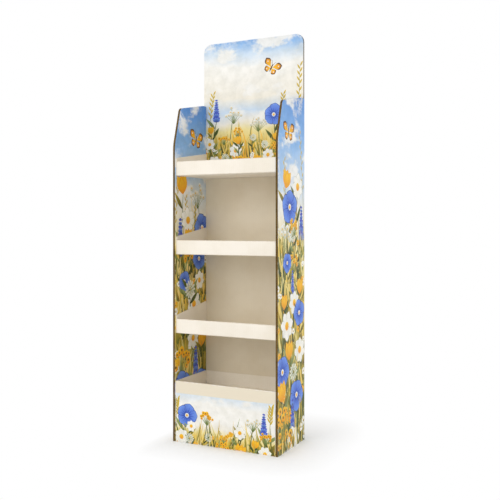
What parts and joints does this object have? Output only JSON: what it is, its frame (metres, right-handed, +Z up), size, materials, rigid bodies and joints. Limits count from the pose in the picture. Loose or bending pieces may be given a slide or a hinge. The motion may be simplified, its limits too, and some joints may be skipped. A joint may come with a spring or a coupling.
{
  "type": "cardboard display stand",
  "caption": "Free-standing cardboard floor display with folded shelf trays between printed side panels, a base tray on a printed plinth and a tall header card.",
  "frame": {"origin": "on the floor, under the middle of the stand", "axes": "+Z up, the open front towards -Y, +X to the right seen from the front"},
  "size_m": [0.42, 0.24, 1.49],
  "materials": {
    "printed_board": "matt print",
    "plain_board": "matt",
    "kraft_board": "uncoated"
  },
  "bodies": {
    "root": {"side_panel_left": "printed_board", "side_panel_right": "printed_board", "header_card": "printed_board", "plinth_front": "printed_board", "back_panel": "plain_board", "shelf_tray_lower": "plain_board", "shelf_tray_middle": "plain_board", "shelf_tray_top": "plain_board", "base_tray": "plain_board", "base_rib_wide": "kraft_board", "base_rib_left": "kraft_board", "base_rib_right": "kraft_board"}
  },
  "joints": []
}
